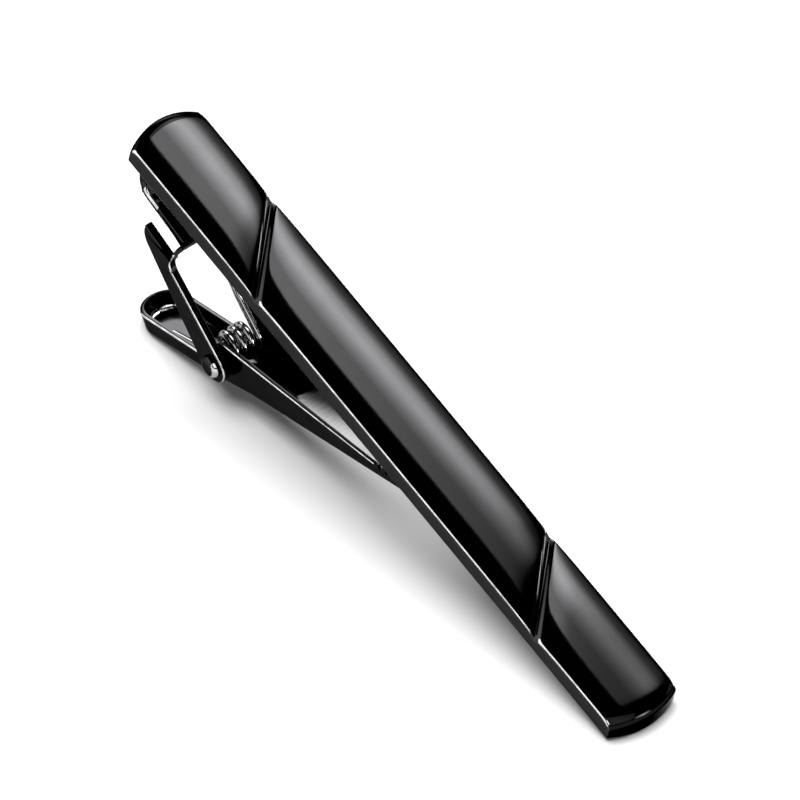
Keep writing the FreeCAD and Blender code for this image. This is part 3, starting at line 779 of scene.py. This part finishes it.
def make_torsion_spring(finish):
    """Spring: one round wire along its centre line."""
    points = spring_points()
    path = bpy.data.curves.new("torsion_wire", "CURVE")
    path.dimensions = "3D"
    line = path.splines.new("POLY")
    line.points.add(len(points) - 1)
    for point, place in zip(line.points, points):
        point.co = (*place, 1)
    path.bevel_depth = WIRE_RADIUS
    path.bevel_resolution = 8
    path.use_fill_caps = True
    spring = bpy.data.objects.new("torsion_wire", path)
    bpy.context.collection.objects.link(spring)
    only(spring)
    bpy.ops.object.convert(target="MESH")
    bpy.ops.object.shade_smooth_by_angle(angle=math.radians(60))
    settle(spring, LAY_DOWN)
    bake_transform(spring)
    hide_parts("torsion_spring")
    spring.data.materials.append(finish)


def make_solder_fillet(finish):
    """Solder: a film over the tongue that has run together with lumps on and inside the fold."""
    top = FOLD_LEFT + FOLD_ROUND * 0.45
    lumps = []
    for i in range(TOP_LUMPS):
        place = (top, TOP_LUMP_START + TOP_LUMP_PITCH * i, TOP_LUMP_Z)
        lumps.append((place, TOP_LUMP_RADII[i % 2]))
    lumps += FOLD_LUMPS
    bpy.ops.object.select_all(action="DESELECT")
    bpy.ops.mesh.primitive_cube_add(size=1, location=((top + TONGUE_END) / 2, 0, -SOLDER_GAP / 2))
    solder = named("solder_bead")
    solder.scale = (TONGUE_END - top, SOLDER_WIDTH, SOLDER_GAP)
    bpy.ops.object.transform_apply(location=True, rotation=True, scale=True)
    edit(solder)
    for place, radius in lumps:
        bpy.ops.mesh.primitive_uv_sphere_add(segments=16, ring_count=10, radius=radius, location=place)
    done()
    apply_modifier(solder, "REMESH", mode="VOXEL", voxel_size=SOLDER_VOXEL)
    apply_modifier(solder, "SMOOTH", factor=0.5, iterations=6)
    bpy.ops.object.shade_smooth()
    settle(solder, LAY_DOWN)
    hand_over(solder, "clip_body", "solder_fillet", finish)


# Materials


def feed(tree, socket, value):
    """Gives a node's socket a link where the value is another socket, and a plain value otherwise."""
    if isinstance(value, bpy.types.NodeSocket):
        tree.links.new(value, socket)
    else:
        socket.default_value = value


def noise(tree, place, scale, detail=2.0, roughness=0.5):
    """Cloudy value over a place."""
    node = tree.nodes.new("ShaderNodeTexNoise")
    feed(tree, node.inputs["Vector"], place)
    feed(tree, node.inputs["Scale"], scale)
    feed(tree, node.inputs["Detail"], detail)
    feed(tree, node.inputs["Roughness"], roughness)
    return node.outputs["Fac"]


def stretched(tree, place, scale):
    """Place with each of its directions scaled."""
    node = tree.nodes.new("ShaderNodeMapping")
    feed(tree, node.inputs["Vector"], place)
    feed(tree, node.inputs["Scale"], scale)
    return node.outputs["Vector"]


def coordinate(tree, place, axis):
    """One coordinate of a place."""
    node = tree.nodes.new("ShaderNodeSeparateXYZ")
    feed(tree, node.inputs["Vector"], place)
    return node.outputs[axis]


def ranged(tree, value, old, new=(0.0, 1.0)):
    """Value moved from its old range to the new one, and held inside it."""
    node = tree.nodes.new("ShaderNodeMapRange")
    feed(tree, node.inputs["Value"], value)
    feed(tree, node.inputs["From Min"], old[0])
    feed(tree, node.inputs["From Max"], old[1])
    feed(tree, node.inputs["To Min"], new[0])
    feed(tree, node.inputs["To Max"], new[1])
    return node.outputs["Result"]


def reckoned(tree, operation, first, second):
    """Number worked out from two others."""
    node = tree.nodes.new("ShaderNodeMath")
    node.operation = operation
    feed(tree, node.inputs[0], first)
    feed(tree, node.inputs[1], second)
    return node.outputs["Value"]


def mixed(tree, kind, share, first, second):
    """Colour or number that goes from first to second by a mask."""
    node = tree.nodes.new("ShaderNodeMix")
    node.data_type = kind
    feed(tree, node.inputs["Factor"], share)
    feed(tree, node.inputs["A"], first)
    feed(tree, node.inputs["B"], second)
    return node.outputs["Result"]


def mask(tree, name):
    """Mask that a piece carries on its faces, none where it carries no such mask."""
    node = tree.nodes.new("ShaderNodeAttribute")
    node.attribute_name = name
    return node.outputs["Fac"]


def grey(level, blue=1.0):
    """Grey tone, a little bluer where blue is over 1."""
    return (level, level, level * blue, 1)


def plating_group():
    """Node group for the plating's marks: cloudy film, hair lines, rubbed edges with painted highlights,
    painted shade on the bar's ends, and brushing.
    """
    tree = bpy.data.node_groups.new("plating_marks_and_painted_light", "ShaderNodeTree")
    line_scale = tree.interface.new_socket("Line Scale", in_out="INPUT", socket_type="NodeSocketFloat")
    line_scale.default_value = 1.0
    for name in ("Film", "Lines", "Polish And Painted Highlight", "Painted Shade", "Brushed"):
        tree.interface.new_socket(name, in_out="OUTPUT", socket_type="NodeSocketFloat")
    enter = tree.nodes.new("NodeGroupInput")
    leave = tree.nodes.new("NodeGroupOutput").inputs
    place = tree.nodes.new("ShaderNodeTexCoord").outputs["Object"]
    feed(tree, leave["Film"], noise(tree, place, FILM_SCALE, detail=5.0, roughness=0.6))
    hair = stretched(tree, place, HAIR_LINES)
    feed(tree, leave["Lines"], noise(tree, hair, enter.outputs["Line Scale"], detail=3.0))
    patchiness = ranged(tree, noise(tree, place, BRIGHT_PATCH_SCALE), (0.25, 0.6), (0.5, 1.0))
    # Rubbed edges and painted highlights, varied in patches.
    feed(tree, leave["Polish And Painted Highlight"], reckoned(tree, "MULTIPLY", mask(tree, "polish_and_painted_highlight"), patchiness))
    feed(tree, leave["Painted Shade"], mask(tree, "painted_shade"))
    ragged = reckoned(tree, "MULTIPLY", noise(tree, place, RAGGED_SCALE, detail=3.0), 2 * BRUSHED_RAGGED)
    reach = reckoned(tree, "ADD", ragged, coordinate(tree, place, "X"))
    start = BRUSHED_START + BRUSHED_RAGGED
    front = ranged(tree, reach, (start - BRUSHED_FADE, start + BRUSHED_FADE))
    bare = reckoned(tree, "MULTIPLY", mask(tree, "brushed_floor"), front)
    strokes = noise(tree, stretched(tree, place, BRUSH_STROKES), 1.0)
    streaks = ranged(tree, strokes, (0.3, 0.7), (0.6, 1.0))
    feed(tree, leave["Brushed"], reckoned(tree, "MULTIPLY", bare, streaks))
    return tree


def plating(name, group, dark, pale, polish_and_highlight_tone, rough, lines):
    """Black plating: mirror metal whose tone and gloss vary, brighter on rubbed edges and on painted
    highlights, and painted darker as shade on the bar's ends.

    The film goes from dark to pale and from the lower to the higher value of rough, and lines holds the
    depth and the scale of the hair lines.
    """
    finish = bpy.data.materials.new(name)
    finish.use_nodes = True
    tree = finish.node_tree
    shader = tree.nodes["Principled BSDF"]
    shader.inputs["Metallic"].default_value = 1.0
    shader.inputs["Specular Tint"].default_value = grey(GRAZING_TINT)
    plating_marks = tree.nodes.new("ShaderNodeGroup")
    plating_marks.node_tree = group
    plating_marks.inputs["Line Scale"].default_value = lines[1]
    marks_out = plating_marks.outputs
    tone = mixed(tree, "RGBA", marks_out["Film"], grey(dark, COOL), grey(pale, COOL))
    # Painted shade on the bar's ends; next, rubbed edges and painted highlights.
    tone = mixed(tree, "RGBA", marks_out["Painted Shade"], tone, grey(PAINTED_SHADE_TONE))
    tone = mixed(tree, "RGBA", marks_out["Polish And Painted Highlight"], tone, grey(polish_and_highlight_tone, BRIGHT_COOL))
    tone = mixed(tree, "RGBA", marks_out["Brushed"], tone, grey(BRUSHED_TONE, BRIGHT_COOL))
    feed(tree, shader.inputs["Base Color"], tone)
    gloss = ranged(tree, marks_out["Film"], (0.0, 1.0), rough)
    gloss = mixed(tree, "FLOAT", marks_out["Brushed"], gloss, BRUSHED_ROUGHNESS)
    feed(tree, shader.inputs["Roughness"], gloss)
    bump = tree.nodes.new("ShaderNodeBump")
    bump.inputs["Strength"].default_value = lines[0]
    bump.inputs["Distance"].default_value = HAIR_HEIGHT
    feed(tree, bump.inputs["Height"], marks_out["Lines"])
    feed(tree, shader.inputs["Normal"], bump.outputs["Normal"])
    return finish


# Stage: floor, light and camera


def bare_material(name):
    """Material with an empty node tree."""
    finish = bpy.data.materials.new(name)
    finish.use_nodes = True
    finish.node_tree.nodes.clear()
    return finish


def show(tree, shader):
    """Makes a shader's output the surface of its material."""
    out = tree.nodes.new("ShaderNodeOutputMaterial")
    feed(tree, out.inputs["Surface"], shader)


def make_floor():
    """Wide white floor that stays white to the camera and in the metal, and keeps the clip's shadow."""
    bpy.ops.object.select_all(action="DESELECT")
    bpy.ops.mesh.primitive_plane_add(size=FLOOR_SIZE)
    floor = named("floor")
    finish = bare_material("floor_white")
    tree = finish.node_tree
    paper = tree.nodes.new("ShaderNodeBsdfDiffuse")
    paper.inputs["Color"].default_value = grey(FLOOR_TONE)
    path = tree.nodes.new("ShaderNodeLightPath").outputs
    seen = reckoned(tree, "MAXIMUM", path["Is Camera Ray"], path["Is Glossy Ray"])
    lift = tree.nodes.new("ShaderNodeEmission")
    feed(tree, lift.inputs["Strength"], reckoned(tree, "MULTIPLY", seen, FLOOR_LIFT))
    both = tree.nodes.new("ShaderNodeAddShader")
    feed(tree, both.inputs[0], paper.outputs["BSDF"])
    feed(tree, both.inputs[1], lift.outputs["Emission"])
    show(tree, both.outputs["Shader"])
    floor.data.materials.append(finish)


def make_world():
    """Studio room: white to the camera, faintly pale low down and dark overhead in the metal."""
    world = bpy.data.worlds.new("studio")
    bpy.context.scene.world = world
    world.use_nodes = True
    tree = world.node_tree
    back = tree.nodes["Background"]
    back.inputs["Color"].default_value = grey(1.0)
    place = tree.nodes.new("ShaderNodeTexCoord").outputs["Generated"]
    wall = ranged(tree, coordinate(tree, place, "Z"), WALL_HEIGHTS, WALL_GLOWS)
    path = tree.nodes.new("ShaderNodeLightPath").outputs
    feed(tree, back.inputs["Strength"], reckoned(tree, "MAXIMUM", path["Is Camera Ray"], wall))


def toward(azimuth, elevation, distance):
    """Place at a compass turn and height angle round the clip's middle."""
    a = math.radians(azimuth)
    e = math.radians(elevation)
    flat = math.cos(e)
    return Vector((math.cos(a) * flat, math.sin(a) * flat, math.sin(e))) * distance


def fade(tree, along, reach, stops):
    """Level along one side of a panel, from stops of (place in metres, level)."""
    ramp = tree.nodes.new("ShaderNodeValToRGB")
    marks = ramp.color_ramp.elements
    while len(marks) < len(stops):
        marks.new(0.5)
    for mark, (place, level) in zip(marks, sorted(stops)):
        mark.position = (place + reach) / (2 * reach)
        mark.color = grey(level)
    feed(tree, ramp.inputs["Fac"], ranged(tree, along, (-reach, reach)))
    return ramp.outputs["Color"]


def glow_panel(name, place, width, height, strength, across, up):
    """Soft white panel facing the clip, that only the metal shows, fading across and up by its stops."""
    bpy.ops.object.select_all(action="DESELECT")
    bpy.ops.mesh.primitive_plane_add(size=1)
    panel = named(name)
    panel.scale = (width, height, 1)
    bpy.ops.object.transform_apply(location=False, rotation=False, scale=True)
    panel.location = place
    panel.rotation_euler = (CLIP_MIDDLE - place).to_track_quat("-Z", "Y").to_euler()
    panel.visible_camera = False
    panel.visible_diffuse = False
    panel.visible_shadow = False
    finish = bare_material(name)
    tree = finish.node_tree
    where = tree.nodes.new("ShaderNodeTexCoord").outputs["Object"]
    sideways = fade(tree, coordinate(tree, where, "X"), width / 2, across)
    upward = fade(tree, coordinate(tree, where, "Y"), height / 2, up)
    level = reckoned(tree, "MULTIPLY", sideways, upward)
    glow = tree.nodes.new("ShaderNodeEmission")
    feed(tree, glow.inputs["Strength"], reckoned(tree, "MULTIPLY", level, strength))
    show(tree, glow.outputs["Emission"])
    panel.data.materials.append(finish)


def make_light():
    """Wide lamp overhead for floor and shadow, and panels that the metal shows."""
    lamp = bpy.data.lights.new("overhead_lamp", "SUN")
    lamp.energy = LAMP_ENERGY
    lamp.angle = math.radians(LAMP_WIDTH)
    overhead = bpy.data.objects.new("overhead_lamp", lamp)
    bpy.context.collection.objects.link(overhead)
    overhead.visible_glossy = False

    # The crown's panel is soft along the bar, and up it by the angle from straight overhead.
    along_bar = [(-0.06, 0.0), (-0.03, 0.22), (-0.012, 0.38), (-0.006, 0.56), (0.004, 0.8), (0.012, 0.92)]
    along_bar += [(0.027, 1.0)]
    turns = [(3.2, 0.0), (3.8, 0.34), (17, 0.34), (24, 0.6), (32, 0.95), (36, 1.0), (43, 0.67)]
    turns += [(47, 0.32), (51, 0.1), (59, 0.0)]
    middle_turn = 90 - CROWN_PANEL_RISE
    up = [(CROWN_PANEL_AWAY * math.tan(math.radians(middle_turn - turn)), level) for turn, level in turns]
    crown_place = toward(95, CROWN_PANEL_RISE, CROWN_PANEL_AWAY)
    glow_panel("crown_panel", crown_place, 0.4, 0.46, strength=9.0, across=along_bar, up=up)

    even = [(-0.5, 0.6), (0.0, 1.0), (0.5, 0.6)]
    soft_ends = [(-0.15, 0.0), (0.0, 1.0), (0.15, 0.0)]
    soft_spot = [(-0.05, 0.0), (0.0, 1.0), (0.05, 0.0)]
    glow_panel("front_panel", toward(-122, 28, 0.5), 1.0, 0.42, strength=2.2, across=even, up=even)
    glow_panel("edge_panel", toward(-30, 38, 0.6), 0.5, 0.5, strength=2.6, across=even, up=even)
    glow_panel("spring_panel", toward(12, 17, 0.6), 0.3, 0.24, strength=40.0, across=soft_ends, up=even)
    glow_panel("groove_panel", toward(73, 15, 0.5), 0.15, 0.1, strength=2.0, across=even, up=even)
    glow_panel("left_panel", toward(153, 25, 0.18), 0.12, 0.1, strength=20.0, across=soft_spot, up=soft_spot)


def make_camera():
    """Long lens at the photograph's viewing angle."""
    lens = bpy.data.cameras.new("camera")
    lens.lens = CAMERA_LENS
    lens.sensor_width = 36.0
    lens.clip_start = 0.1
    lens.clip_end = 20.0
    camera = bpy.data.objects.new("camera", lens)
    bpy.context.collection.objects.link(camera)
    camera.location = CAMERA_PLACE
    camera.rotation_euler = [math.radians(turn) for turn in CAMERA_TURN]
    bpy.context.scene.camera = camera


plating_marks = plating_group()
bar_black = plating(
    "bar_black", plating_marks, dark=0.035, pale=0.046, polish_and_highlight_tone=0.72, rough=(0.04, 0.09), lines=(0.1, 1.0)
)
sheet_black = plating(
    "sheet_black", plating_marks, dark=0.022, pale=0.034, polish_and_highlight_tone=0.72, rough=(0.08, 0.16), lines=(0.3, 1.0)
)
wire_dark = plating(
    "wire_dark", plating_marks, dark=0.24, pale=0.36, polish_and_highlight_tone=0.5, rough=(0.1, 0.18), lines=(0.02, 1.0)
)
make_front_bar(bar_black)
make_hinge_bracket(sheet_black)
make_jaw_lever(sheet_black)
make_hinge_pin(sheet_black)
make_torsion_spring(wire_dark)
make_solder_fillet(sheet_black)
make_floor()
make_world()
make_light()
make_camera()
bpy.context.scene.view_settings.view_transform = "Standard"
